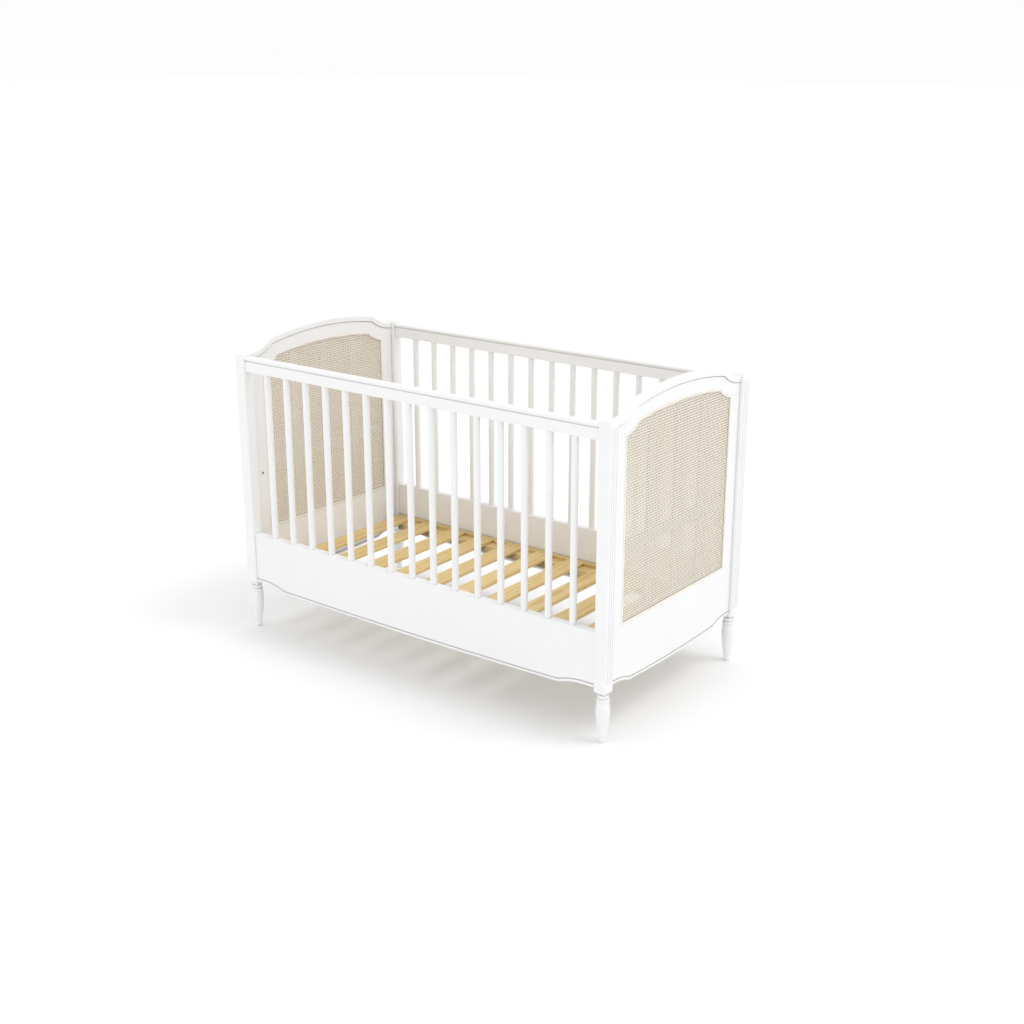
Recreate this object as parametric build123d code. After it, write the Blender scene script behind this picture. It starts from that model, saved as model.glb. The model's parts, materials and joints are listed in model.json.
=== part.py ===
from build123d import *
import os
from math import atan, degrees

os.makedirs("parts", exist_ok=True)

# Baby crib for a 1400 x 700 mm mattress. Millimetres, +Z up, the floor is Z = 0.
# X runs along the crib and Y across it: -Y is the front side and the arched ends are at -X and +X.

# Corner posts and turned legs
POST_X = 710.0  # post centres
POST_Y = 360.0
POST_SIZE = 42.0
POST_CORNER_RADIUS = 6.0
POST_TOP = 955.0
POST_CROWN_RADIUS = 12.0
POST_BLOCK_BOTTOM = 161.0
POST_TAPER_HEIGHT = 9.0
POST_TAPER_INSET = 9.0
FLUTE_SPACING = 11.0
FLUTE_RADIUS = 2.2
FLUTE_OFFSETS = (-FLUTE_SPACING, 0.0, FLUTE_SPACING)
FLUTE_BOTTOM = 190.0
FLUTE_TOP = 928.0
FLUTE_CENTRE_PROUD = 0.4  # a flute's centre line, in front of the post's face
LEG_TOP = POST_BLOCK_BOTTOM - POST_TAPER_HEIGHT

# Side frames: top rail, apron and upright bars
SIDE_THICKNESS = 26.0
SIDE_RECESS = 7.0  # side frame's outer face behind the posts' outer faces
RAIL_BOTTOM = 893.0
RAIL_GROOVE = 928.0
RAIL_GROOVE_WIDTH = 2.4
RAIL_TOP = 941.0
RAIL_CAP_PROUD = 2.0
RAIL_CAP_RADIUS = 5.5
RAIL_EDGE_RADIUS = 2.0
APRON_TOP = 339.0
APRON_BEVEL = 3.0
BAR_COUNT = 15
BAR_DIAMETER = 21.0
BAR_TENON_DIAMETER = 14.0
BAR_TENON_LENGTH = 14.0

# Scalloped lower edge, shared by the aprons and the end panels: half length to the corner,
# then how high the edge stands at the middle, at that corner and beside the post
SCALLOP_MIDDLE_Z = 146.0
SCALLOP_CORNER_Z = 152.0
SCALLOP_END_Z = 168.5
SIDE_SCALLOP_CORNER = 564.0
SIDE_SCALLOP_REACH = 652.0
END_SCALLOP_CORNER = 240.0
END_SCALLOP_REACH = 318.0
BEAD_HEIGHT = 10.0
BEAD_RADIUS = 5.0
BEAD_PROUD = 1.5
GROOVE_WIDTH = 2.4
GROOVE_DEPTH = 2.0

# Arched ends
PANEL_THICKNESS = 18.0
WINDOW_HALF = 289.0
WINDOW_BOTTOM = 337.0
WINDOW_SHOULDER_Z = 895.0
WINDOW_CORNER_Y = 223.0
WINDOW_CORNER_Z = 927.0
WINDOW_TOP = 944.0
WINDOW_SHOULDER = (250.0, 908.5)  # a point on the hollow between the window's corner and its side
ARCH_TOP = 1007.0
ARCH_CORNER_Y = 249.0
ARCH_CORNER_Z = 982.0
ARCH_SHOULDER = (286.0, 959.5)  # a point on the hollow between the arch's corner and the post
ARCH_END_Z = 948.0
CREST_CAP_HEIGHT = 20.0
CREST_CAP_PROUD = 2.5
CREST_CAP_RADIUS = 7.0
LIP_THICKNESS = 9.0  # the lip round the window, and the lattice, lie between the two sheets of rattan
LIP_WIDTH = 15.0
LOWER_LIP_Z = 360.0
LATH_WIDTH = 30.0
LATH_PLACES = (-142.0, 0.0, 142.0)
CROSS_RAIL_Z = 567.5
RATTAN_THICKNESS = 2.0
BEADING_WIDTH = 7.0
BEADING_PROUD = 1.5
BEADING_RADIUS = 1.5

# Slatted base, drawn at its low setting
BASE_HALF_LENGTH = 686.0
BASE_HALF_WIDTH = 345.0
BASE_TOP = 222.0
BASE_THICKNESS = 18.0  # over the hooks, where the rails are notched
BASE_RAIL_BOTTOM = 188.0
BASE_RAIL_WIDTH = 62.0
BASE_LIP_WIDTH = 20.0
SLAT_COUNT = 11
SLAT_WIDTH = 68.0
SLAT_THICKNESS = 10.0
SLAT_EDGE_RADIUS = 3.5
SLAT_END_GAP = 0.5

# Base supports: studs screwed into the stiles, and slotted plates that hook over them
SUPPORT_Y = 312.0
LOW_HOLE_Z = 188.0
HIGH_HOLE_Z = 535.0
INSERT_RADIUS = 5.0
INSERT_LENGTH = 13.0
STUD_RADIUS = 3.0
STUD_HEAD_RADIUS = 6.5
STUD_HEAD_THICKNESS = 3.0
STUD_HEAD_X = 688.0
HOOK_THICKNESS = 2.5
HOOK_NOTCH_X = 640.0
HOOK_X = 692.0
HOOK_LENGTH = 44.5
HOOK_WIDTH = 26.0
HOOK_DROP = 28.0
HOOK_SLOT_RADIUS = 3.5
HOOK_REST_GAP = 0.1
HOOK_SCREW_PLACES = (655.0, 675.0)
SCREW_RADIUS = 1.75
SCREW_HEAD_RADIUS = 3.5
SCREW_HEAD_HEIGHT = 1.8
SCREW_TIP = 2.0
HOOK_SCREW_SHIFT = 6.0
HOOK_SCREW_LENGTH = 9.5
SLAT_SCREW_LENGTH = 13.0
SLAT_SCREW_Y = 304.0

# Joinery hidden in the frame
DOWEL_RADIUS = 4.0
DOWEL_REACH = 15.0  # into each of the two pieces it joins
END_DOWEL_LEVELS = (240.0, 420.0, 760.0, 850.0)
SIDE_DOWEL_LEVELS = (240.0, 305.0, 917.0)
CAM_RADIUS = 7.5
CAM_DEPTH = 13.0
CAM_X = 655.0
CAM_STUD_RADIUS = 3.5
CAM_STUD_END_X = 703.0
RAIL_CAM_STUD_Z = RAIL_BOTTOM + 6.5
APRON_CAM_Z = 196.0
LEG_STUD_RADIUS = 4.0
LEG_STUD_REACH = 35.0

# Room that a shape is drawn past the place where it is cut
OVERRUN = 60.0
CUT_MARGIN = 1.0

# Worked out from the sizes above
POST_HALF = POST_SIZE / 2
SIDE_FACE_Y = POST_Y + POST_HALF - SIDE_RECESS
SIDE_Y = SIDE_FACE_Y - SIDE_THICKNESS / 2
SIDE_INNER_Y = SIDE_FACE_Y - SIDE_THICKNESS
SIDE_HALF = POST_X - POST_HALF
END_HALF = POST_Y - POST_HALF
PANEL_INNER_X = POST_X - PANEL_THICKNESS / 2
SHEET_OUTER_DEPTH = LIP_THICKNESS / 2 + RATTAN_THICKNESS  # from the panel's middle plane
BAR_SPACING = 2 * SIDE_HALF / (BAR_COUNT + 1)
BASE_BOTTOM = BASE_TOP - BASE_THICKNESS
LEDGE_Z = BASE_TOP - SLAT_THICKNESS
LEDGE_Y = BASE_HALF_WIDTH - BASE_LIP_WIDTH
SLAT_SPACING = (2 * BASE_HALF_LENGTH - SLAT_WIDTH) / (SLAT_COUNT - 1)
CORNERS = {
    "front_left": (-1, -1),
    "front_right": (1, -1),
    "back_left": (-1, 1),
    "back_right": (1, 1),
}
ENDS = {"left": -1, "right": 1}
SIDES = {"front": -1, "back": 1}


def save(shape, node):
    """Writes one node."""
    export_step(shape, f"parts/{node}.step")


def rod(axis, start, end, radius):
    """A round rod along "X", "Y" or "Z" from the point start, ending at the coordinate end."""
    index = "XYZ".index(axis)
    length = end - start[index]
    direction = [0, 0, 0]
    direction[index] = 1 if length > 0 else -1
    plane = Plane(origin=start, z_dir=tuple(direction))
    return plane * Cylinder(radius, abs(length), align=(Align.CENTER, Align.CENTER, Align.MIN))


def block(low, high):
    """A box between two opposite corners."""
    size = [high[i] - low[i] for i in range(3)]
    middle = [(high[i] + low[i]) / 2 for i in range(3)]
    return Pos(*middle) * Box(*size)


def mirrored(shape, sign_x, sign_y):
    """The +X +Y corner's shape, put in the corner that the two signs name."""
    if sign_x < 0:
        shape = shape.mirror(Plane.YZ)
    if sign_y < 0:
        shape = shape.mirror(Plane.XZ)
    return shape


# ---- Outlines, drawn as (distance along the side, height) ----


def scalloped_board(corner, reach, end, top):
    """A board's outline: a slightly bowed lower edge between two corners, and a hollow up to each post."""
    edges = [
        Line((-end, SCALLOP_END_Z), (-reach, SCALLOP_END_Z)),
        TangentArc((-reach, SCALLOP_END_Z), (-corner, SCALLOP_CORNER_Z), tangent=(1, 0)),
        ThreePointArc((-corner, SCALLOP_CORNER_Z), (0, SCALLOP_MIDDLE_Z), (corner, SCALLOP_CORNER_Z)),
        TangentArc((reach, SCALLOP_END_Z), (corner, SCALLOP_CORNER_Z), tangent=(-1, 0)),
        Line((reach, SCALLOP_END_Z), (end, SCALLOP_END_Z)),
        Line((end, SCALLOP_END_Z), (end, top)),
        Line((end, top), (-end, top)),
        Line((-end, top), (-end, SCALLOP_END_Z)),
    ]
    return make_face(edges)


def arched_board(end, bottom):
    """The end's crest outline: a shallow arch, a sharp corner and a hollow shoulder down to each post."""
    shoulder = ARCH_SHOULDER
    shoulder_foot = (END_HALF, ARCH_END_Z)
    edges = [
        ThreePointArc((-ARCH_CORNER_Y, ARCH_CORNER_Z), (0, ARCH_TOP), (ARCH_CORNER_Y, ARCH_CORNER_Z)),
        ThreePointArc((ARCH_CORNER_Y, ARCH_CORNER_Z), shoulder, shoulder_foot),
        Line(shoulder_foot, (end, ARCH_END_Z)),
        Line((end, ARCH_END_Z), (end, bottom)),
        Line((end, bottom), (-end, bottom)),
        Line((-end, bottom), (-end, ARCH_END_Z)),
        Line((-end, ARCH_END_Z), (-shoulder_foot[0], ARCH_END_Z)),
        ThreePointArc(
            (-shoulder_foot[0], ARCH_END_Z), (-shoulder[0], shoulder[1]), (-ARCH_CORNER_Y, ARCH_CORNER_Z)
        ),
    ]
    return make_face(edges)


def window():
    """The rattan window's outline, whose top follows the crest."""
    shoulder = WINDOW_SHOULDER
    edges = [
        ThreePointArc((-WINDOW_CORNER_Y, WINDOW_CORNER_Z), (0, WINDOW_TOP), (WINDOW_CORNER_Y, WINDOW_CORNER_Z)),
        ThreePointArc((WINDOW_CORNER_Y, WINDOW_CORNER_Z), shoulder, (WINDOW_HALF, WINDOW_SHOULDER_Z)),
        Line((WINDOW_HALF, WINDOW_SHOULDER_Z), (WINDOW_HALF, WINDOW_BOTTOM)),
        Line((WINDOW_HALF, WINDOW_BOTTOM), (-WINDOW_HALF, WINDOW_BOTTOM)),
        Line((-WINDOW_HALF, WINDOW_BOTTOM), (-WINDOW_HALF, WINDOW_SHOULDER_Z)),
        ThreePointArc(
            (-WINDOW_HALF, WINDOW_SHOULDER_Z), (-shoulder[0], shoulder[1]), (-WINDOW_CORNER_Y, WINDOW_CORNER_Z)
        ),
    ]
    return make_face(edges)


def lip():
    """The ring inside the window's edge that the rattan is laid on: it is wider along the bottom."""
    opening = inset(window(), LIP_WIDTH)
    return window() - clip(opening, WINDOW_HALF, LOWER_LIP_Z, ARCH_TOP)


def inset(face, amount):
    """The same outline drawn further in, with its corners kept sharp."""
    return offset(face, -amount, kind=Kind.INTERSECTION)


def clip(face, half_length, low, high):
    """The part of an outline between two heights and within half_length of the middle."""
    return face & Pos(0, (low + high) / 2) * Rectangle(2 * half_length, high - low)


def plank(face, thickness):
    """A flat piece cut to an outline and centred on the drawing plane."""
    return extrude(face, thickness / 2, both=True)


def round_over(strip, outline, radius):
    """Rounds the strip's long edges that lie on the outline itself, on both faces."""
    boundary = outline.face().outer_wire()

    def on_outline(edge):
        middle = edge @ 0.5
        return boundary.distance_to(Vector(middle.X, middle.Y, 0)) < 0.01

    return fillet(strip.edges().filter_by(on_outline).filter_by(not_across), radius)


def not_across(edge):
    """True for an edge that runs along a flat piece, not through its thickness."""
    return abs((edge @ 0).Z - (edge @ 1).Z) < 0.01


def beaded_board(corner, reach, half_length, thickness, top):
    """A board with a scalloped lower edge, a round bead along it and a groove above the bead."""
    outline = scalloped_board(corner, reach, half_length + OVERRUN, top + OVERRUN)
    above_bead = inset(outline, BEAD_HEIGHT)
    above_groove = inset(outline, BEAD_HEIGHT + GROOVE_WIDTH)
    low = SCALLOP_MIDDLE_Z - OVERRUN
    middle = SCALLOP_END_Z + OVERRUN
    bead_face = clip(outline - above_bead, half_length, low, middle)
    groove_face = clip(above_bead - above_groove, half_length, low, middle)
    board_face = clip(above_groove, half_length, low, top)
    bead = round_over(plank(bead_face, thickness + 2 * BEAD_PROUD), outline, BEAD_RADIUS)
    return bead + plank(groove_face, thickness - 2 * GROOVE_DEPTH) + plank(board_face, thickness)


# ---- Posts and legs ----


def post_solid():
    """The +X +Y corner post, with its bores."""
    plan = RectangleRounded(POST_SIZE, POST_SIZE, POST_CORNER_RADIUS)
    shaft = extrude(Pos(0, 0, POST_BLOCK_BOTTOM) * plan, POST_TOP - POST_BLOCK_BOTTOM)
    shaft = fillet(shaft.faces().sort_by(Axis.Z)[-1].edges(), POST_CROWN_RADIUS)
    taper_angle = degrees(atan(POST_TAPER_INSET / POST_TAPER_HEIGHT))
    taper = extrude(
        Pos(0, 0, POST_BLOCK_BOTTOM) * plan, POST_TAPER_HEIGHT, dir=(0, 0, -1), taper=taper_angle
    )
    post = Pos(POST_X, POST_Y) * (shaft + taper)
    outer_x = POST_X + POST_HALF
    for shift in FLUTE_OFFSETS:
        start = (outer_x + FLUTE_CENTRE_PROUD, POST_Y + shift, FLUTE_BOTTOM)
        post -= rod("Z", start, FLUTE_TOP, FLUTE_RADIUS)
        post -= Pos(*start) * Sphere(FLUTE_RADIUS)
        post -= Pos(start[0], start[1], FLUTE_TOP) * Sphere(FLUTE_RADIUS)
    for tool in end_dowels_at() + side_dowels_at() + cam_studs_at():
        post -= tool
    return post - leg_stud_at()


def leg_solid():
    """A turned leg: a collar, a thin ring, and a vase shape that tapers to a small foot."""
    edges = [
        Line((0, 0), (8.4, 0)),
        ThreePointArc((8.4, 0), (9.4, 0.7), (9.8, 2.0)),
        Spline((9.8, 2.0), (11.6, 20.0), (16.2, 50.0), (19.9, 80.0), (20.8, 104.0), (18.4, 126.5)),
        Line((18.4, 126.5), (17.2, 128.0)),
        Line((17.2, 128.0), (18.4, 129.5)),
        ThreePointArc((18.4, 129.5), (20.2, 133.5), (18.4, 137.5)),
        Line((18.4, 137.5), (15.0, 138.5)),
        Line((15.0, 138.5), (15.0, 140.5)),
        Line((15.0, 140.5), (16.6, 141.5)),
        Line((16.6, 141.5), (16.6, 149.5)),
        Line((16.6, 149.5), (15.0, 150.5)),
        Line((15.0, 150.5), (15.0, LEG_TOP)),
        Line((15.0, LEG_TOP), (0, LEG_TOP)),
        Line((0, LEG_TOP), (0, 0)),
    ]
    leg = revolve(Plane.XZ * make_face(edges), Axis.Z)
    return Pos(POST_X, POST_Y) * leg - leg_stud_at()


# ---- Hidden joinery of the +X +Y corner ----


def end_dowels_at():
    """Dowels between the end panel and the post."""
    return [
        rod("Y", (POST_X, END_HALF - DOWEL_REACH, z), END_HALF + DOWEL_REACH, DOWEL_RADIUS)
        for z in END_DOWEL_LEVELS
    ]


def side_dowels_at():
    """Dowels between the side frame and the post."""
    return [
        rod("X", (SIDE_HALF - DOWEL_REACH, SIDE_Y, z), SIDE_HALF + DOWEL_REACH, DOWEL_RADIUS)
        for z in SIDE_DOWEL_LEVELS
    ]


def apron_cam_stud_y():
    """The apron's cam opens on its inner face, so its stud runs halfway down the cam."""
    return SIDE_INNER_Y + CAM_DEPTH / 2


def cam_studs_at():
    """Threaded studs that stand out of the post and end in the two cams."""
    return [
        rod("X", (CAM_X, SIDE_Y, RAIL_CAM_STUD_Z), CAM_STUD_END_X, CAM_STUD_RADIUS),
        rod("X", (CAM_X, apron_cam_stud_y(), APRON_CAM_Z), CAM_STUD_END_X, CAM_STUD_RADIUS),
    ]


def cam_pockets_at():
    """Cam locks: one in the top rail's underside and one in the apron's inner face."""
    return [
        rod("Z", (CAM_X, SIDE_Y, RAIL_BOTTOM), RAIL_BOTTOM + CAM_DEPTH, CAM_RADIUS),
        rod("Y", (CAM_X, SIDE_INNER_Y, APRON_CAM_Z), SIDE_INNER_Y + CAM_DEPTH, CAM_RADIUS),
    ]


def leg_stud_at():
    """The hanger bolt that joins the leg to the post."""
    return rod("Z", (POST_X, POST_Y, LEG_TOP - LEG_STUD_REACH), LEG_TOP + LEG_STUD_REACH, LEG_STUD_RADIUS)


# ---- Side frames, drawn for the +Y side ----


def bar_places():
    """Where the bars stand along the side."""
    first = -SIDE_HALF + BAR_SPACING
    return [first + i * BAR_SPACING for i in range(BAR_COUNT)]


def both_ends(tools):
    """The +X end's tools and their mirror images at the -X end."""
    return tools + [tool.mirror(Plane.YZ) for tool in tools]


def top_rail_solid():
    """The top rail: a flat bar, a groove on both faces and a rounded cap."""
    cap_width = SIDE_THICKNESS + 2 * RAIL_CAP_PROUD
    cap_bottom = RAIL_GROOVE + RAIL_GROOVE_WIDTH / 2
    bar_top = RAIL_GROOVE - RAIL_GROOVE_WIDTH / 2
    cap_height = RAIL_TOP - cap_bottom
    bar_height = bar_top - RAIL_BOTTOM
    cap = Pos(0, cap_bottom + cap_height / 2) * RectangleRounded(cap_width, cap_height, RAIL_CAP_RADIUS)
    bar = Pos(0, RAIL_BOTTOM + bar_height / 2) * Rectangle(SIDE_THICKNESS, bar_height)
    bar = fillet(bar.vertices().group_by(Axis.Y)[0], RAIL_EDGE_RADIUS)
    core_height = RAIL_GROOVE_WIDTH + 2 * CUT_MARGIN
    core = Pos(0, RAIL_GROOVE) * Rectangle(SIDE_THICKNESS - 2 * GROOVE_DEPTH, core_height)
    profile = cap + bar + core
    rail = extrude(Plane.YZ * profile, SIDE_HALF, both=True)
    rail = Pos(0, SIDE_Y, 0) * rail
    for x in bar_places():
        rail -= rod("Z", (x, SIDE_Y, RAIL_BOTTOM), RAIL_BOTTOM + BAR_TENON_LENGTH, BAR_TENON_DIAMETER / 2)
    for tool in both_ends(side_dowels_at() + cam_studs_at() + cam_pockets_at()):
        rail -= tool
    return rail


def apron_solid():
    """The deep board under the bars."""
    board = beaded_board(
        SIDE_SCALLOP_CORNER, SIDE_SCALLOP_REACH, SIDE_HALF, SIDE_THICKNESS, APRON_TOP
    )
    apron = Pos(0, SIDE_Y, 0) * (Plane.XZ * board)
    top_edges = apron.edges().filter_by(Axis.X).group_by(Axis.Z)[-1]
    apron = chamfer(top_edges, APRON_BEVEL)
    for x in bar_places():
        apron -= rod("Z", (x, SIDE_Y, APRON_TOP), APRON_TOP - BAR_TENON_LENGTH, BAR_TENON_DIAMETER / 2)
    for tool in both_ends(side_dowels_at() + cam_studs_at() + cam_pockets_at()):
        apron -= tool
    return apron


def bar_solids():
    """Round bars with a tenon at each end."""
    bars = []
    for x in bar_places():
        bar = rod("Z", (x, SIDE_Y, APRON_TOP), RAIL_BOTTOM, BAR_DIAMETER / 2)
        bar += rod(
            "Z",
            (x, SIDE_Y, APRON_TOP - BAR_TENON_LENGTH),
            RAIL_BOTTOM + BAR_TENON_LENGTH,
            BAR_TENON_DIAMETER / 2,
        )
        bars.append(bar)
    return bars


# ---- Arched ends, drawn for the +X end ----


def at_end(piece):
    """Stands a flat piece up in the plane of the +X end."""
    return Pos(POST_X, 0, 0) * (Plane.YZ * piece)


def both_posts(tools):
    """The +Y post's tools and their mirror images at the -Y post."""
    return tools + [tool.mirror(Plane.XZ) for tool in tools]


def crest_rail_solid():
    """The arched rail: a rounded cap along its top, a groove under the cap and the window's upper edge."""
    outline = arched_board(END_HALF + OVERRUN, WINDOW_BOTTOM)
    under_cap = inset(outline, CREST_CAP_HEIGHT)
    under_groove = inset(outline, CREST_CAP_HEIGHT + GROOVE_WIDTH)
    top = ARCH_TOP + OVERRUN
    cap_face = clip(outline - under_cap, END_HALF, WINDOW_SHOULDER_Z, top)
    groove_face = clip(under_cap - under_groove, END_HALF, WINDOW_SHOULDER_Z, top)
    board_face = clip(under_groove, END_HALF, WINDOW_SHOULDER_Z, top) - window()
    lip_face = clip(lip(), WINDOW_HALF, WINDOW_SHOULDER_Z, top)
    cap = plank(cap_face, PANEL_THICKNESS + 2 * CREST_CAP_PROUD)
    cap = round_over(cap, outline, CREST_CAP_RADIUS)
    crest = cap + plank(groove_face, PANEL_THICKNESS - 2 * GROOVE_DEPTH)
    crest += plank(board_face, PANEL_THICKNESS)
    return at_end(crest + plank(lip_face, LIP_THICKNESS))


def stile_solid():
    """The upright between the +Y post and the window, with the two bores for the base's supports."""
    width = END_HALF - WINDOW_HALF
    height = WINDOW_SHOULDER_Z - WINDOW_BOTTOM
    stile = Pos(POST_X, WINDOW_HALF + width / 2, WINDOW_BOTTOM + height / 2) * Box(
        PANEL_THICKNESS, width, height
    )
    stile += block(
        (POST_X - LIP_THICKNESS / 2, WINDOW_HALF - LIP_WIDTH, LOWER_LIP_Z),
        (POST_X + LIP_THICKNESS / 2, WINDOW_HALF, WINDOW_SHOULDER_Z),
    )
    stile -= insert_bore(HIGH_HOLE_Z)
    for tool in end_dowels_at():
        stile -= tool
    return stile


def insert_bore(z):
    """A blind bore in the end's inner face."""
    return rod("X", (PANEL_INNER_X, SUPPORT_Y, z), PANEL_INNER_X + INSERT_LENGTH, INSERT_RADIUS)


def lower_panel_solid():
    """The plain board under the window."""
    board = beaded_board(END_SCALLOP_CORNER, END_SCALLOP_REACH, END_HALF, PANEL_THICKNESS, WINDOW_BOTTOM)
    lip_face = clip(lip(), WINDOW_HALF, WINDOW_BOTTOM, LOWER_LIP_Z)
    panel = at_end(board + plank(lip_face, LIP_THICKNESS))
    for tool in both_posts(end_dowels_at() + [insert_bore(LOW_HOLE_Z)]):
        panel -= tool
    return panel


def lath_solids():
    """Three upright laths between the sheets of rattan, each notched where the cross rail passes."""
    opening = window() - lip()
    notch = block(
        (POST_X - LIP_THICKNESS / 2, -WINDOW_HALF, CROSS_RAIL_Z - LATH_WIDTH / 2),
        (POST_X, WINDOW_HALF, CROSS_RAIL_Z + LATH_WIDTH / 2),
    )
    laths = []
    for y in LATH_PLACES:
        middle_z = (WINDOW_BOTTOM + WINDOW_TOP) / 2
        face = opening & Pos(y, middle_z) * Rectangle(LATH_WIDTH, WINDOW_TOP - WINDOW_BOTTOM)
        laths.append(at_end(plank(face, LIP_THICKNESS)) - notch)
    return laths


def cross_rail_solid():
    """The lath that runs across them, notched the other way."""
    half_length = WINDOW_HALF - LIP_WIDTH
    low_z = CROSS_RAIL_Z - LATH_WIDTH / 2
    high_z = CROSS_RAIL_Z + LATH_WIDTH / 2
    rail = block(
        (POST_X - LIP_THICKNESS / 2, -half_length, low_z),
        (POST_X + LIP_THICKNESS / 2, half_length, high_z),
    )
    for y in LATH_PLACES:
        rail -= block(
            (POST_X, y - LATH_WIDTH / 2, low_z),
            (POST_X + LIP_THICKNESS / 2, y + LATH_WIDTH / 2, high_z),
        )
    return rail


def rattan_solid(side):
    """A woven sheet laid on the lip: side is 1 outside and -1 inside."""
    sheet = Pos(0, 0, LIP_THICKNESS / 2) * extrude(window(), RATTAN_THICKNESS)
    if side < 0:
        sheet = sheet.mirror(Plane.XY)
    return at_end(sheet)


def beading_solid(side):
    """The flat strip round the window that holds the rattan: side is 1 outside and -1 inside."""
    strip = window() - inset(window(), BEADING_WIDTH)
    ring = extrude(strip, PANEL_THICKNESS / 2 + BEADING_PROUD - SHEET_OUTER_DEPTH)
    ring = fillet(ring.faces().sort_by(Axis.Z)[-1].edges(), BEADING_RADIUS)
    ring = Pos(0, 0, SHEET_OUTER_DEPTH) * ring
    if side < 0:
        ring = ring.mirror(Plane.XY)
    return at_end(ring)


# ---- Slatted base ----


def base_rail_solid():
    """The +Y rail: a ledge for the slats, a full-height lip behind it, and a notch at each end for a hook."""
    inner_y = BASE_HALF_WIDTH - BASE_RAIL_WIDTH
    rail = block((-BASE_HALF_LENGTH, inner_y, BASE_BOTTOM), (BASE_HALF_LENGTH, BASE_HALF_WIDTH, LEDGE_Z))
    rail += block((-BASE_HALF_LENGTH, LEDGE_Y, LEDGE_Z), (BASE_HALF_LENGTH, BASE_HALF_WIDTH, BASE_TOP))
    rail += block((-HOOK_NOTCH_X, inner_y, BASE_RAIL_BOTTOM), (HOOK_NOTCH_X, BASE_HALF_WIDTH, BASE_BOTTOM))
    for tool in slat_screws_at() + both_ends(hook_screws_at()):
        rail -= tool
    return rail


def slat_places():
    """Where the slats lie: the first and last are flush with the base's ends."""
    first = -BASE_HALF_LENGTH + SLAT_WIDTH / 2
    return [first + i * SLAT_SPACING for i in range(SLAT_COUNT)]


def slat_solid(x):
    """A flat slat across the base with eased upper edges."""
    length = 2 * (LEDGE_Y - SLAT_END_GAP)
    slat = Pos(x, 0, LEDGE_Z + SLAT_THICKNESS / 2) * Box(SLAT_WIDTH, length, SLAT_THICKNESS)
    slat = fillet(slat.edges().filter_by(Axis.Y).group_by(Axis.Z)[-1], SLAT_EDGE_RADIUS)
    for tool in both_posts([slat_screw(x)]):
        slat -= tool
    return slat


def screw(x, y, z, length):
    """A countersunk screw driven upwards, its head flush with the height z."""
    edges = [
        Line((0, 0), (SCREW_HEAD_RADIUS, 0)),
        Line((SCREW_HEAD_RADIUS, 0), (SCREW_RADIUS, SCREW_HEAD_HEIGHT)),
        Line((SCREW_RADIUS, SCREW_HEAD_HEIGHT), (SCREW_RADIUS, length - SCREW_TIP)),
        Line((SCREW_RADIUS, length - SCREW_TIP), (0, length)),
        Line((0, length), (0, 0)),
    ]
    return Pos(x, y, z) * revolve(Plane.XZ * make_face(edges), Axis.Z)


def slat_screw(x):
    """The screw that holds one end of a slat, driven up from the rail's underside."""
    if abs(x) > HOOK_NOTCH_X:
        return screw(x, SLAT_SCREW_Y, BASE_BOTTOM, SLAT_SCREW_LENGTH)
    length = SLAT_SCREW_LENGTH + BASE_BOTTOM - BASE_RAIL_BOTTOM
    return screw(x, SLAT_SCREW_Y, BASE_RAIL_BOTTOM, length)


def slat_screws_at():
    """One screw up through the +Y ledge into each slat."""
    return [slat_screw(x) for x in slat_places()]


def hook_screws_at():
    """The two screws of the +X +Y hook plate."""
    z = BASE_BOTTOM - HOOK_THICKNESS
    return [screw(x, SUPPORT_Y + HOOK_SCREW_SHIFT, z, HOOK_SCREW_LENGTH) for x in HOOK_SCREW_PLACES]


def hook_solid():
    """The +X +Y plate: flat under the rail, then bent down, with a slot that drops over the stud."""
    outer_x = HOOK_X + HOOK_THICKNESS
    low_y = SUPPORT_Y - HOOK_WIDTH / 2
    high_y = SUPPORT_Y + HOOK_WIDTH / 2
    flat = block((outer_x - HOOK_LENGTH, low_y, BASE_BOTTOM - HOOK_THICKNESS), (outer_x, high_y, BASE_BOTTOM))
    drop = block((HOOK_X, low_y, BASE_BOTTOM - HOOK_DROP), (outer_x, high_y, BASE_BOTTOM))
    slot_top = LOW_HOLE_Z + STUD_RADIUS + HOOK_REST_GAP - HOOK_SLOT_RADIUS
    slot_start = HOOK_X - CUT_MARGIN
    slot_end = outer_x + CUT_MARGIN
    slot = rod("X", (slot_start, SUPPORT_Y, slot_top), slot_end, HOOK_SLOT_RADIUS)
    slot += block(
        (slot_start, SUPPORT_Y - HOOK_SLOT_RADIUS, BASE_BOTTOM - HOOK_DROP - CUT_MARGIN),
        (slot_end, SUPPORT_Y + HOOK_SLOT_RADIUS, slot_top),
    )
    hook = flat + drop - slot
    for tool in hook_screws_at():
        hook -= tool
    return hook


def support_stud_solid():
    """The +X +Y stud: threaded into the low insert, with a flat head in front of the hook plate."""
    head = rod("X", (STUD_HEAD_X, SUPPORT_Y, LOW_HOLE_Z), STUD_HEAD_X + STUD_HEAD_THICKNESS, STUD_HEAD_RADIUS)
    shank = rod("X", (STUD_HEAD_X, SUPPORT_Y, LOW_HOLE_Z), PANEL_INNER_X + INSERT_LENGTH, STUD_RADIUS)
    return head + shank


def insert_solid(z):
    """A threaded metal sleeve in the end's inner face."""
    end_x = PANEL_INNER_X + INSERT_LENGTH
    return insert_bore(z) - rod("X", (PANEL_INNER_X - CUT_MARGIN, SUPPORT_Y, z), end_x, STUD_RADIUS)


# ---- Writing the nodes ----


def in_all_corners(solids):
    """Copies of the +X +Y corner's solids in all four corners, as one group."""
    copies = []
    for sign_x, sign_y in CORNERS.values():
        copies += [mirrored(solid, sign_x, sign_y) for solid in solids]
    return Compound(children=copies)


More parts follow.
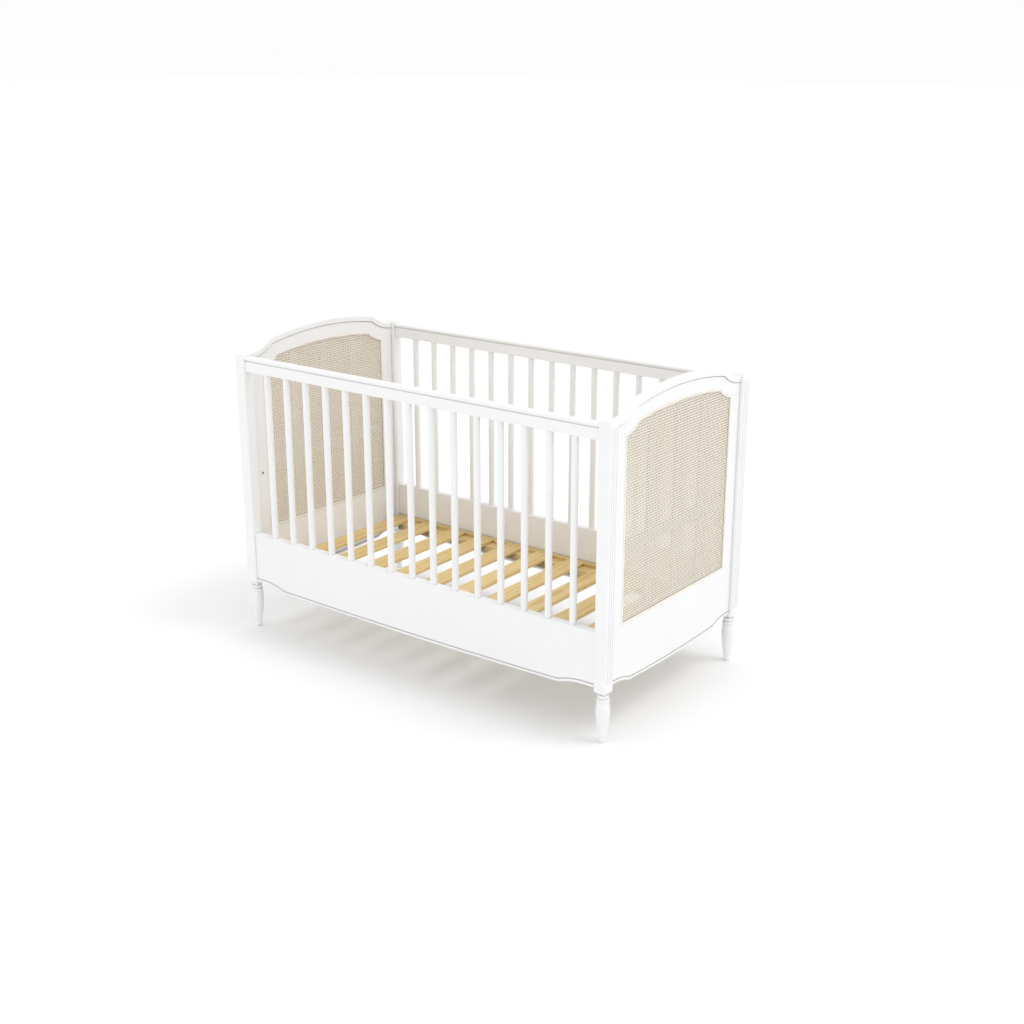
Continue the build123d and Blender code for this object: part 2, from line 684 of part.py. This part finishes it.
def write_corner_pieces():
    """Posts, legs and stiles."""
    post = post_solid()
    leg = leg_solid()
    stile = stile_solid()
    for name, (sign_x, sign_y) in CORNERS.items():
        save(mirrored(post, sign_x, sign_y), f"post_{name}")
        save(mirrored(leg, sign_x, sign_y), f"leg_{name}")
        save(mirrored(stile, sign_x, sign_y), f"stile_{name}")


def write_ends():
    """Crest rails, lower panels, lattices, rattan and beading."""
    pieces = {
        "crest_rail": crest_rail_solid(),
        "lower_panel": lower_panel_solid(),
        "cross_rail": cross_rail_solid(),
        "outer_rattan": rattan_solid(1),
        "inner_rattan": rattan_solid(-1),
        "outer_beading": beading_solid(1),
        "inner_beading": beading_solid(-1),
    }
    laths = lath_solids()
    for end, sign in ENDS.items():
        for name, solid in pieces.items():
            save(mirrored(solid, sign, 1), f"{name}_{end}")
        save(Compound(children=[mirrored(lath, sign, 1) for lath in laths]), f"window_laths_{end}")


def write_sides():
    """Top rails, aprons and bars."""
    rail = top_rail_solid()
    apron = apron_solid()
    bars = bar_solids()
    for side, sign in SIDES.items():
        save(mirrored(rail, 1, sign), f"top_rail_{side}")
        save(mirrored(apron, 1, sign), f"apron_{side}")
        save(Compound(children=[mirrored(bar, 1, sign) for bar in bars]), f"bars_{side}")


def write_base():
    """Base rails, slats and hook plates."""
    rail = base_rail_solid()
    for side, sign in SIDES.items():
        save(mirrored(rail, 1, sign), f"base_rail_{side}")
    for i, x in enumerate(slat_places()):
        save(slat_solid(x), f"slat_{i + 1:02d}")
    save(in_all_corners([hook_solid()]), "base_hooks")


def write_fasteners():
    """Dowels, cams, studs, inserts and screws: each kind is one node of separate solids."""
    cams = []
    for pocket in cam_pockets_at():
        for stud in cam_studs_at():
            pocket -= stud
        cams.append(pocket)
    slat_screws = slat_screws_at()
    save(in_all_corners(end_dowels_at()), "end_dowels")
    save(in_all_corners(side_dowels_at()), "side_dowels")
    save(in_all_corners(cam_studs_at()), "cam_studs")
    save(in_all_corners(cams), "cam_locks")
    save(in_all_corners([leg_stud_at()]), "leg_studs")
    save(in_all_corners([insert_solid(LOW_HOLE_Z), insert_solid(HIGH_HOLE_Z)]), "support_inserts")
    save(in_all_corners([support_stud_solid()]), "support_studs")
    save(in_all_corners(hook_screws_at()), "hook_screws")
    save(Compound(children=both_posts(slat_screws)), "slat_screws")


write_corner_pieces()
write_ends()
write_sides()
write_base()
write_fasteners()
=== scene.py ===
import json
import math

import bpy
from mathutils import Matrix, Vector


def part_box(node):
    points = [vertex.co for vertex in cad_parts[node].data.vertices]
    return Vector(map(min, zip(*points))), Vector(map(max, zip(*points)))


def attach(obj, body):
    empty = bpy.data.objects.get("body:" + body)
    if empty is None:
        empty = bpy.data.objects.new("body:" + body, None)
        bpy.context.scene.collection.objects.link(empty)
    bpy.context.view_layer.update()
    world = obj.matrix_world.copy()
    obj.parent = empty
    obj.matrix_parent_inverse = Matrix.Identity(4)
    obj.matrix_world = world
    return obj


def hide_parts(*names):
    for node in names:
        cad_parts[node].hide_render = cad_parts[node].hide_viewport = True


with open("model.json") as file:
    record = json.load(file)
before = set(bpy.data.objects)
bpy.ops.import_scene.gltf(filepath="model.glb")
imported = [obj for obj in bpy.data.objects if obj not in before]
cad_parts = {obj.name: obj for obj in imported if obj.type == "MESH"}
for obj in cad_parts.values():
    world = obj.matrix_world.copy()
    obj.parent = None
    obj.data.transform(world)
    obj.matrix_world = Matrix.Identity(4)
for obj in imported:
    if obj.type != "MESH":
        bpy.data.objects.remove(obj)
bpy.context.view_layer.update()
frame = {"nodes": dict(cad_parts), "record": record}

# A white baby crib with woven cane ends and a slatted pine base. Metres, +Z up, the floor is Z = 0.

# Camera, in the crib's own frame
CAMERA_PLACE = (2.748211, -3.439326, 1.909782)
CAMERA_PITCH = 18.269  # degrees below the horizon
CAMERA_AZIMUTH = 37.504  # degrees, anticlockwise from a view along +Y
CAMERA_LENS = 50.26  # mm
CAMERA_SENSOR = 36.0  # mm

# Woven cane: broad rows, with narrower uprights between them
STRAND_PITCH = 0.00805
STRAND_THICKNESS = 0.0008
ROW_WIDTH = 0.0049
ROW_LIFT = 0.00055
UPRIGHT_WIDTH = 0.0037
UPRIGHT_LIFT = 0.00045
FLAT_HALF = 0.19  # how far a strand stays flat each side of a crossing, as a share of the pitch
SECTION = (  # round a strand, as shares of its width and thickness
    (-0.5, 0.0),
    (-0.3, 0.5),
    (0.3, 0.5),
    (0.5, 0.0),
    (0.3, -0.5),
    (-0.3, -0.5),
)
END_MARGIN = 1e-4  # the least distance between a strand's end and its next point
OUTLINE_DIGITS = 5
OUTLINE_MARGIN = 1e-6

ENDS = {"left": -1, "right": 1}  # the way each end faces along X
SHEET_PLANES = (0.71, 0.0055)  # an end's middle plane, then its two sheets' distance from that
DIP_BOTTOM = 0.00035  # painted shade darkens a strand most within this distance of its sheet's middle
DIP_TOP = 0.0008  # and plain beyond this one
# the strength of the painted shade where a strand dips
CANE_DIP_SHADE = 0.3
ROW_DARK = (0.93, 0.87, 0.765)
ROW_LIGHT = (0.96, 0.91, 0.82)
UPRIGHT_DARK = (0.88, 0.81, 0.69)
UPRIGHT_LIGHT = (0.93, 0.87, 0.765)
CANE_FIBRE = (0.80, 0.71, 0.58)
CANE_SHADE = (0.52, 0.43, 0.32)

BEADING_DARK = (0.86, 0.80, 0.72)
BEADING_LIGHT = (0.91, 0.87, 0.80)
BEADING_FIBRE = (0.68, 0.58, 0.47)

# White paint
PAINT_DARK = (0.865, 0.865, 0.865)
PAINT_LIGHT = (0.885, 0.885, 0.885)
PAINT_SPECK = (0.915, 0.915, 0.915)
# painted shade for grooves and corners
PAINT_CREVICE_SHADE = (0.40, 0.40, 0.40)

# Pine
PINE_LIGHT = (0.83, 0.63, 0.30)
PINE_MIDDLE = (0.77, 0.57, 0.25)
PINE_DARK = (0.63, 0.43, 0.16)
PINE_FIBRE = (0.60, 0.41, 0.15)
PINE_WARM = (0.75, 0.54, 0.22)
# painted shade for corners and the enclosed faces under the slats
PINE_SHADE = (0.09, 0.065, 0.04)
PINE_UNDERSIDE = (0.60, 0.56, 0.50)
TRUNK_LEAN = 0.05  # how far the trunk's axis runs out across a board, per metre
TRUNK_SIDE = 0.05  # the most that a board's middle is to one side of the trunk's axis
TRUNK_DEPTH = (0.08, 0.2)  # how far the trunk's axis is above the floor, at least and at most
TRUNK_STRETCH = 0.35  # rings change this much more slowly along a board than across it
SHADE_EDGE = 0.004  # over what height the shade below the slats fades out
SHADE_BELOW = 0.9

# Parts that hardly show
BEECH_LIGHT = (0.70, 0.50, 0.33)
BEECH_DARK = (0.62, 0.42, 0.26)
STEEL_LIGHT = (0.72, 0.72, 0.73)
STEEL_DARK = (0.60, 0.60, 0.62)
BLACK_STEEL_LIGHT = (0.10, 0.10, 0.10)
BLACK_STEEL_DARK = (0.05, 0.05, 0.05)

# Studio
FLOOR_SIZE = 120.0
FLOOR_DARK = (0.935, 0.94, 0.947)
FLOOR_LIGHT = (0.945, 0.95, 0.957)
DOME_COLOUR = (0.996, 0.998, 1.0, 1.0)
DOME_STRENGTH = 0.985
KEY_STRENGTH = 0.55
KEY_SPREAD = 24.0  # degrees across
KEY_FROM = (0.55, 0.25, 1.0)
FILL_STRENGTH = 0.1
FILL_SPREAD = 60.0
FILL_FROM = (-0.1, -1.0, 0.8)


# ---- Shader helpers ----


class Shader:
    """A material's node tree, with short ways to add and join nodes."""

    def __init__(self, name):
        self.material = bpy.data.materials.new(name)
        self.material.use_nodes = True
        self.tree = self.material.node_tree
        self.surface = self.tree.nodes["Principled BSDF"]
        self.object_coordinates = self.add("ShaderNodeTexCoord").outputs["Object"]

    def add(self, kind, inputs=None, **settings):
        """Adds a node: inputs maps a socket's name or number to a value or another node's output."""
        node = self.tree.nodes.new(kind)
        for name, value in settings.items():
            setattr(node, name, value)
        for name, value in (inputs or {}).items():
            self.put(node.inputs[name], value)
        return node

    def put(self, socket, value):
        if isinstance(value, bpy.types.NodeSocket):
            self.tree.links.new(value, socket)
        else:
            socket.default_value = value

    def set(self, **values):
        """Sets the surface's sockets, with _ for each space in their names."""
        for name, value in values.items():
            self.put(self.surface.inputs[name.replace("_", " ")], value)

    def math(self, operation, *values):
        return self.add("ShaderNodeMath", dict(enumerate(values)), operation=operation).outputs[0]

    def axes(self):
        return self.add("ShaderNodeSeparateXYZ", {"Vector": self.object_coordinates}).outputs

    def stretched(self, scale):
        """Object coordinates, multiplied along each axis."""
        inputs = {0: self.object_coordinates, 1: scale}
        return self.add("ShaderNodeVectorMath", inputs, operation="MULTIPLY").outputs[0]

    def noise(self, vector, scale=1.0, detail=2.0, roughness=0.5):
        inputs = {"Vector": vector, "Scale": scale, "Detail": detail, "Roughness": roughness}
        return self.add("ShaderNodeTexNoise", inputs).outputs["Fac"]

    def remap(self, value, low, high, new_low, new_high):
        inputs = dict(enumerate((value, low, high, new_low, new_high)))
        return self.add("ShaderNodeMapRange", inputs).outputs[0]

    def tinted(self, tone, colour, factor):
        """A tone with some of a plain colour mixed in."""
        node = self.add("ShaderNodeMix", data_type="RGBA")
        tone_socket, colour_socket = node.inputs[6:8]
        self.put(node.inputs["Factor"], factor)
        self.put(tone_socket, tone)
        self.put(colour_socket, (*colour, 1.0))
        return node.outputs[2]

    def ramp(self, value, *stops):
        node = self.add("ShaderNodeValToRGB", {"Fac": value})
        elements = node.color_ramp.elements
        while len(elements) < len(stops):
            elements.new(0.5)
        for element, (place, colour) in zip(elements, stops):
            element.position = place
            element.color = (*colour, 1.0)
        return node.outputs["Color"]

    def bump(self, height, distance, strength=1.0, normal=None):
        inputs = {"Height": height, "Distance": distance, "Strength": strength}
        node = self.add("ShaderNodeBump", inputs)
        if normal is not None:
            self.put(node.inputs["Normal"], normal)
        return node.outputs["Normal"]

    def corner_shade(self, distance, open_at, closed_at, strength):
        """How strongly painted shade shows: not at all in the open, up to strength in corners."""
        node = self.add("ShaderNodeAmbientOcclusion", {"Distance": distance}, samples=8)
        return self.remap(node.outputs["AO"], closed_at, open_at, strength, 0.0)

    def eased_edges(self, radius):
        """The normal of a surface whose sharp edges are very slightly rounded."""
        return self.add("ShaderNodeBevel", {"Radius": radius}, samples=4).outputs["Normal"]


# ---- Materials ----


def painted_wood():
    """White satin lacquer: fine orange peel, a soft change of tone, painted shade in grooves and
    corners.
    """
    s = Shader("white_paint")
    cloud = s.noise(s.object_coordinates, scale=9.0, detail=3.0)
    tone = s.ramp(cloud, (0.3, PAINT_DARK), (0.7, PAINT_LIGHT))
    speck = s.noise(s.object_coordinates, scale=420.0, detail=2.0)
    tone = s.tinted(tone, PAINT_SPECK, s.remap(speck, 0.35, 0.65, 0.0, 0.35))
    # painted shade: grooves and corners greyed where the occlusion mask finds them enclosed
    tone = s.tinted(tone, PAINT_CREVICE_SHADE, s.corner_shade(0.012, 0.72, 0.3, 0.6))
    peel = s.noise(s.object_coordinates, scale=700.0, detail=2.0)
    grain = s.noise(s.stretched((90.0, 90.0, 12.0)), detail=3.0)
    normal = s.bump(peel, 0.00012, 0.3, s.eased_edges(0.0012))
    normal = s.bump(grain, 0.0001, 0.15, normal)
    gloss = s.noise(s.object_coordinates, scale=26.0, detail=4.0)
    s.set(
        Base_Color=tone,
        Roughness=s.remap(gloss, 0.3, 0.7, 0.34, 0.46),
        Normal=normal,
        Specular_IOR_Level=0.4,
    )
    return s.material


def cane(name, along, across, pitch, start, dark, light):
    """Cane strands that run along one axis (0, 1 or 2) and lie side by side along another: fibres
    lengthwise, each strand its own tone, and painted shade where a strand dips under its neighbours."""
    s = Shader(name)
    axes = s.axes()
    strand = s.math("FLOOR", s.math("DIVIDE", s.math("SUBTRACT", axes[across], start), pitch))
    tint = s.add("ShaderNodeTexWhiteNoise", {"W": strand}, noise_dimensions="1D").outputs["Value"]
    scale = [2600.0, 2600.0, 2600.0]
    scale[along] = 60.0
    fibre = s.noise(s.stretched(tuple(scale)), detail=3.0, roughness=0.6)
    scale[along] = 14.0
    scale[across] = 90.0
    patch = s.noise(s.stretched(tuple(scale)), detail=2.0)
    shade = s.math("ADD", s.math("MULTIPLY", tint, 0.3), s.math("MULTIPLY", patch, 0.7))
    tone = s.ramp(shade, (0.2, dark), (0.8, light))
    tone = s.tinted(tone, CANE_FIBRE, s.remap(fibre, 0.35, 0.75, 0.0, 0.3))
    # painted shade: darker near each sheet's middle, where a strand dips under its neighbours
    from_middle = s.math("ABSOLUTE", axes[0])
    for plane in SHEET_PLANES:
        from_middle = s.math("ABSOLUTE", s.math("SUBTRACT", from_middle, plane))
    tone = s.tinted(tone, CANE_SHADE, s.remap(from_middle, DIP_BOTTOM, DIP_TOP, CANE_DIP_SHADE, 0.0))
    s.set(
        Base_Color=tone,
        Roughness=s.remap(fibre, 0.3, 0.7, 0.42, 0.6),
        Normal=s.bump(fibre, 0.00015, 0.5),
        Specular_IOR_Level=0.35,
    )
    return s.material


def beading():
    """The pale cane strip round each window."""
    s = Shader("beading")
    fibre = s.noise(s.stretched((900.0, 420.0, 420.0)), detail=4.0, roughness=0.6)
    patch = s.noise(s.object_coordinates, scale=22.0, detail=2.0)
    tone = s.ramp(patch, (0.3, BEADING_DARK), (0.7, BEADING_LIGHT))
    tone = s.tinted(tone, BEADING_FIBRE, s.remap(fibre, 0.45, 0.8, 0.0, 0.35))
    normal = s.bump(fibre, 0.0002, 0.4, s.eased_edges(0.0008))
    s.set(Base_Color=tone, Roughness=s.remap(fibre, 0.3, 0.7, 0.45, 0.62), Normal=normal)
    return s.material


def pine(name, along, board_start, board_pitch, shaded_below):
    """Varnished pine with growth rings about an axis that runs along X (0) or Y (1). Each board
    has its own place in the trunk, and painted shade darkens corners and enclosed faces below a
    height."""
    across = 1 - along
    s = Shader(name)
    axes = s.axes()

    # Each board's number, and its own random place and tone
    board = s.math("SUBTRACT", axes[across], board_start)
    board = s.math("FLOOR", s.math("DIVIDE", board, board_pitch))
    random = s.add("ShaderNodeTexWhiteNoise", {"W": board}, noise_dimensions="1D").outputs
    shades = s.add("ShaderNodeSeparateColor", {"Color": random["Color"]}).outputs

    # A point of the board, in the trunk that it was sawn from
    middle = s.math("MULTIPLY", s.math("ADD", board, 0.5), board_pitch)
    from_middle = s.math("SUBTRACT", axes[across], s.math("ADD", board_start, middle))
    leaning = s.math("ADD", from_middle, s.math("MULTIPLY", axes[along], TRUNK_LEAN))
    side = s.math("ADD", leaning, s.remap(random["Value"], 0, 1, -TRUNK_SIDE, TRUNK_SIDE))
    depth = s.math("SUBTRACT", axes[2], s.remap(shades[1], 0, 1, *TRUNK_DEPTH))
    length = s.math("MULTIPLY", axes[along], TRUNK_STRETCH)
    length = s.math("ADD", length, s.math("MULTIPLY", shades[2], 7.0))
    trunk = s.add("ShaderNodeCombineXYZ", {0: side, 1: depth, 2: length}).outputs[0]

    rings = s.add(
        "ShaderNodeTexWave",
        {"Vector": trunk, "Scale": 34.0, "Distortion": 2.6, "Detail": 2.0, "Detail Scale": 0.6},
        wave_type="RINGS",
        rings_direction="Z",
        wave_profile="SAW",
    ).outputs["Fac"]
    scale = [1500.0, 1500.0, 1500.0]
    scale[along] = 28.0
    fibre = s.noise(s.stretched(tuple(scale)), detail=4.0, roughness=0.65)
    stops = ((0.0, PINE_LIGHT), (0.55, PINE_MIDDLE), (0.9, PINE_DARK), (1.0, PINE_LIGHT))
    tone = s.ramp(rings, *stops)
    tone = s.tinted(tone, PINE_FIBRE, s.remap(fibre, 0.35, 0.75, 0.0, 0.45))
    tone = s.tinted(tone, PINE_WARM, s.remap(shades[0], 0, 1, 0.0, 0.22))

    # Duller underneath, and painted shade in corners and on enclosed faces below the height
    normal = s.add("ShaderNodeTexCoord").outputs["Normal"]
    upward = s.add("ShaderNodeSeparateXYZ", {"Vector": normal}).outputs[2]
    tone = s.tinted(tone, PINE_UNDERSIDE, s.remap(upward, -0.5, -0.9, 0.0, 0.8))
    # painted shade below the height, kept to enclosed places by the wider occlusion mask
    below = s.remap(axes[2], shaded_below - SHADE_EDGE, shaded_below, 1.0, 0.0)
    below = s.math("MULTIPLY", below, SHADE_BELOW)
    shade = s.math("MAXIMUM", s.corner_shade(0.03, 0.6, 0.2, 0.6), below)
    shade = s.math("MULTIPLY", shade, s.corner_shade(0.12, 0.95, 0.55, 1.0))
    tone = s.tinted(tone, PINE_SHADE, shade)

    normal = s.bump(fibre, 0.0002, 0.4, s.eased_edges(0.001))
    normal = s.bump(rings, 0.0002, 0.3, normal)
    s.set(Base_Color=tone, Roughness=s.remap(fibre, 0.3, 0.7, 0.38, 0.55), Normal=normal)
    return s.material


def beech():
    """Plain fluted dowels."""
    s = Shader("beech")
    fleck = s.noise(s.stretched((60.0, 60.0, 900.0)), detail=3.0)
    s.set(
        Base_Color=s.ramp(fleck, (0.35, BEECH_LIGHT), (0.65, BEECH_DARK)),
        Roughness=s.remap(fleck, 0.3, 0.7, 0.55, 0.7),
        Normal=s.bump(fleck, 0.0002, 0.5),
    )
    return s.material


def steel(name, light, dark, smooth, rough):
    """Plated or blackened steel with a mottled finish and fine scratches."""
    s = Shader(name)
    mottle = s.noise(s.object_coordinates, scale=260.0, detail=3.0)
    scratch = s.noise(s.stretched((160.0, 4200.0, 900.0)), detail=2.0)
    s.set(
        Base_Color=s.ramp(mottle, (0.35, dark), (0.65, light)),
        Metallic=1.0,
        Roughness=s.remap(scratch, 0.3, 0.7, smooth, rough),
        Normal=s.bump(scratch, 0.00005, 0.4, s.eased_edges(0.0004)),
    )
    return s.material


def give(node, material):
    """Puts a material on a CAD node that stays in view."""
    for slot in frame["nodes"][node].material_slots:
        slot.material = material


def finish_cad_nodes():
    """Every CAD node's finish, by the record's own slots, with the pine's grain along each board."""
    nodes = frame["nodes"]
    slats = [name for name in nodes if name.startswith("slat_") and name != "slat_screws"]
    slat_low, slat_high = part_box("slat_01")
    slat_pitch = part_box("slat_02")[0].x - slat_low.x
    slat_gap = slat_pitch - (slat_high.x - slat_low.x)
    rail_low, rail_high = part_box("base_rail_front")
    rail_pitch = 2 * abs(rail_low.y) - (rail_high.y - rail_low.y)
    slat_pine = pine("pine_slats", 1, slat_low.x - slat_gap / 2, slat_pitch, 0.0)
    rail_pine = pine("pine_rails", 0, rail_low.y, rail_pitch, slat_low.z)
    finishes = {
        "white_paint": painted_wood(),
        "beading": beading(),
        "beech": beech(),
        "steel": steel("steel", STEEL_LIGHT, STEEL_DARK, 0.22, 0.38),
        "black_steel": steel("black_steel", BLACK_STEEL_LIGHT, BLACK_STEEL_DARK, 0.4, 0.6),
    }
    for row in frame["record"]["subparts"]:
        node, slot = row["node"], row["material_slot"]
        if slot in finishes:
            give(node, finishes[slot])
        elif slot == "pine":
            give(node, slat_pine if node in slats else rail_pine)


# ---- Woven cane ----


def top_edge(node):
    """The upper outline of a window's sheet, as a function of the distance across it."""
    low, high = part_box(node)
    points = [(v.co.y, v.co.z) for v in frame["nodes"][node].data.vertices]
    side = min(z for _, z in points if z > (low.z + high.z) / 2)
    upper = [(y, z) for y, z in points if z >= side - OUTLINE_MARGIN]
    outline = sorted({(round(y, OUTLINE_DIGITS), round(z, OUTLINE_DIGITS)) for y, z in upper})

    def height(y):
        for (y0, z0), (y1, z1) in zip(outline, outline[1:]):
            if y0 <= y <= y1 and y1 > y0:
                return z0 + (z1 - z0) * (y - y0) / (y1 - y0)
        return side

    return height


def crossings(low, high):
    """How many strands lie side by side between two edges, and how far apart."""
    count = round((high - low) / STRAND_PITCH)
    return count, (high - low) / count


def ribbon(vertices, faces, centres, width, place):
    """Adds one flat strand: centres are (distance along, lift), and place turns
    (along, across, lift) into a point."""
    first = len(vertices)
    sides = len(SECTION)
    for along, lift in centres:
        for across, up in SECTION:
            vertices.append(place(along, across * width, lift + up * STRAND_THICKNESS))
    for i in range(len(centres) - 1):
        for k in range(sides):
            a = first + i * sides + k
            b = first + i * sides + (k + 1) % sides
            faces.append((a, b, b + sides, a + sides))
    faces.append(tuple(first + k for k in reversed(range(sides))))
    faces.append(tuple(first + (len(centres) - 1) * sides + k for k in range(sides)))


def wave(low, high, start, pitch, lift, over_first):
    """Points along a strand from low to high: flat over or under each crossing, and level with
    the sheet halfway to the next."""
    points = []
    first = math.ceil((low - start) / pitch)
    last = math.floor((high - start) / pitch)
    for k in range(first, last + 1):
        side = lift if (k % 2 == 0) == over_first else -lift
        at = start + k * pitch
        flat = FLAT_HALF * pitch
        points += [(at - flat, side), (at + flat, side), (at + pitch / 2, 0.0)]
    points = [point for point in points if low + END_MARGIN < point[0] < high - END_MARGIN]
    return [(low, 0.0), *points, (high, 0.0)]


def make_piece(name, vertices, faces, material, body):
    mesh = bpy.data.meshes.new(name)
    mesh.from_pydata(vertices, [], faces)
    mesh.shade_smooth()
    mesh.materials.append(material)
    piece = bpy.data.objects.new(name, mesh)
    bpy.context.scene.collection.objects.link(piece)
    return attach(piece, body)


def weave(face, end, uprights_finish, rows_finish):
    """One sheet of plain-woven cane: upright strands and rows, each over one and under one."""
    node = f"{face}_rattan_{end}"
    low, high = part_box(node)
    middle_x = (low.x + high.x) / 2
    outward = ENDS[end] if face == "outer" else -ENDS[end]
    height = top_edge(node)
    columns, column_pitch = crossings(low.y, high.y)
    rows, row_pitch = crossings(low.z, high.z)
    first_y = low.y + column_pitch / 2
    first_z = low.z + row_pitch / 2

    def upright(y):
        return lambda along, across, lift: (middle_x + outward * lift, y + across, along)

    def row(z):
        return lambda along, across, lift: (middle_x + outward * lift, along, z + across)

    vertices, faces = [], []
    for i in range(columns):
        y = first_y + i * column_pitch
        centres = wave(low.z, height(y), first_z, row_pitch, UPRIGHT_LIFT, i % 2 == 0)
        ribbon(vertices, faces, centres, UPRIGHT_WIDTH, upright(y))
    warp = make_piece(f"{node}_uprights", vertices, faces, uprights_finish, "frame")

    vertices, faces = [], []
    for j in range(rows):
        z = first_z + j * row_pitch
        top = z + ROW_WIDTH / 2
        covered = [i for i in range(columns) if height(first_y + i * column_pitch) > top]
        if len(covered) < 2:
            continue
        start = first_y + covered[0] * column_pitch - column_pitch / 2
        end_y = first_y + covered[-1] * column_pitch + column_pitch / 2
        centres = wave(start, end_y, first_y, column_pitch, ROW_LIFT, j % 2 == 1)
        ribbon(vertices, faces, centres, ROW_WIDTH, row(z))
    weft = make_piece(f"{node}_rows", vertices, faces, rows_finish, "frame")
    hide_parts(node)
    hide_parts(node)


def make_rattan():
    low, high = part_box("outer_rattan_left")
    _, column_pitch = crossings(low.y, high.y)
    _, row_pitch = crossings(low.z, high.z)
    uprights_finish = cane(
        "cane_uprights", 2, 1, column_pitch, low.y, UPRIGHT_DARK, UPRIGHT_LIGHT
    )
    rows_finish = cane("cane_rows", 1, 2, row_pitch, low.z, ROW_DARK, ROW_LIGHT)
    for end in ENDS:
        for face in ("outer", "inner"):
            weave(face, end, uprights_finish, rows_finish)


# ---- Studio ----


def make_floor():
    s = Shader("studio_floor")
    cloud = s.noise(s.object_coordinates, scale=0.8, detail=2.0)
    tone = s.ramp(cloud, (0.3, FLOOR_DARK), (0.7, FLOOR_LIGHT))
    s.set(Base_Color=tone, Roughness=0.9, Specular_IOR_Level=0.1)
    bpy.ops.mesh.primitive_plane_add(size=FLOOR_SIZE)
    floor = bpy.context.object
    floor.name = "studio_floor"
    floor.data.materials.append(s.material)


def add_sun(name, direction, strength, spread):
    light = bpy.data.lights.new(name, "SUN")
    light.energy = strength
    light.angle = math.radians(spread)
    lamp = bpy.data.objects.new(name, light)
    lamp.rotation_euler = Vector(direction).to_track_quat("Z", "Y").to_euler()
    bpy.context.scene.collection.objects.link(lamp)


def make_light():
    """An even white dome, a broad soft key high over the back right-hand corner, and a faint fill
    from the front."""
    world = bpy.data.worlds.new("studio")
    world.use_nodes = True
    background = world.node_tree.nodes["Background"]
    background.inputs["Color"].default_value = DOME_COLOUR
    background.inputs["Strength"].default_value = DOME_STRENGTH
    bpy.context.scene.world = world
    add_sun("key", KEY_FROM, KEY_STRENGTH, KEY_SPREAD)
    add_sun("fill", FILL_FROM, FILL_STRENGTH, FILL_SPREAD)
    bpy.context.scene.view_settings.view_transform = "Standard"


def make_camera():
    data = bpy.data.cameras.new("camera")
    data.lens = CAMERA_LENS
    data.sensor_width = CAMERA_SENSOR
    camera = bpy.data.objects.new("camera", data)
    camera.location = CAMERA_PLACE
    tilt = math.radians(90.0 - CAMERA_PITCH)
    camera.rotation_euler = (tilt, 0.0, math.radians(CAMERA_AZIMUTH))
    bpy.context.scene.collection.objects.link(camera)
    bpy.context.scene.camera = camera


make_camera()
make_light()
make_floor()
finish_cad_nodes()
make_rattan()
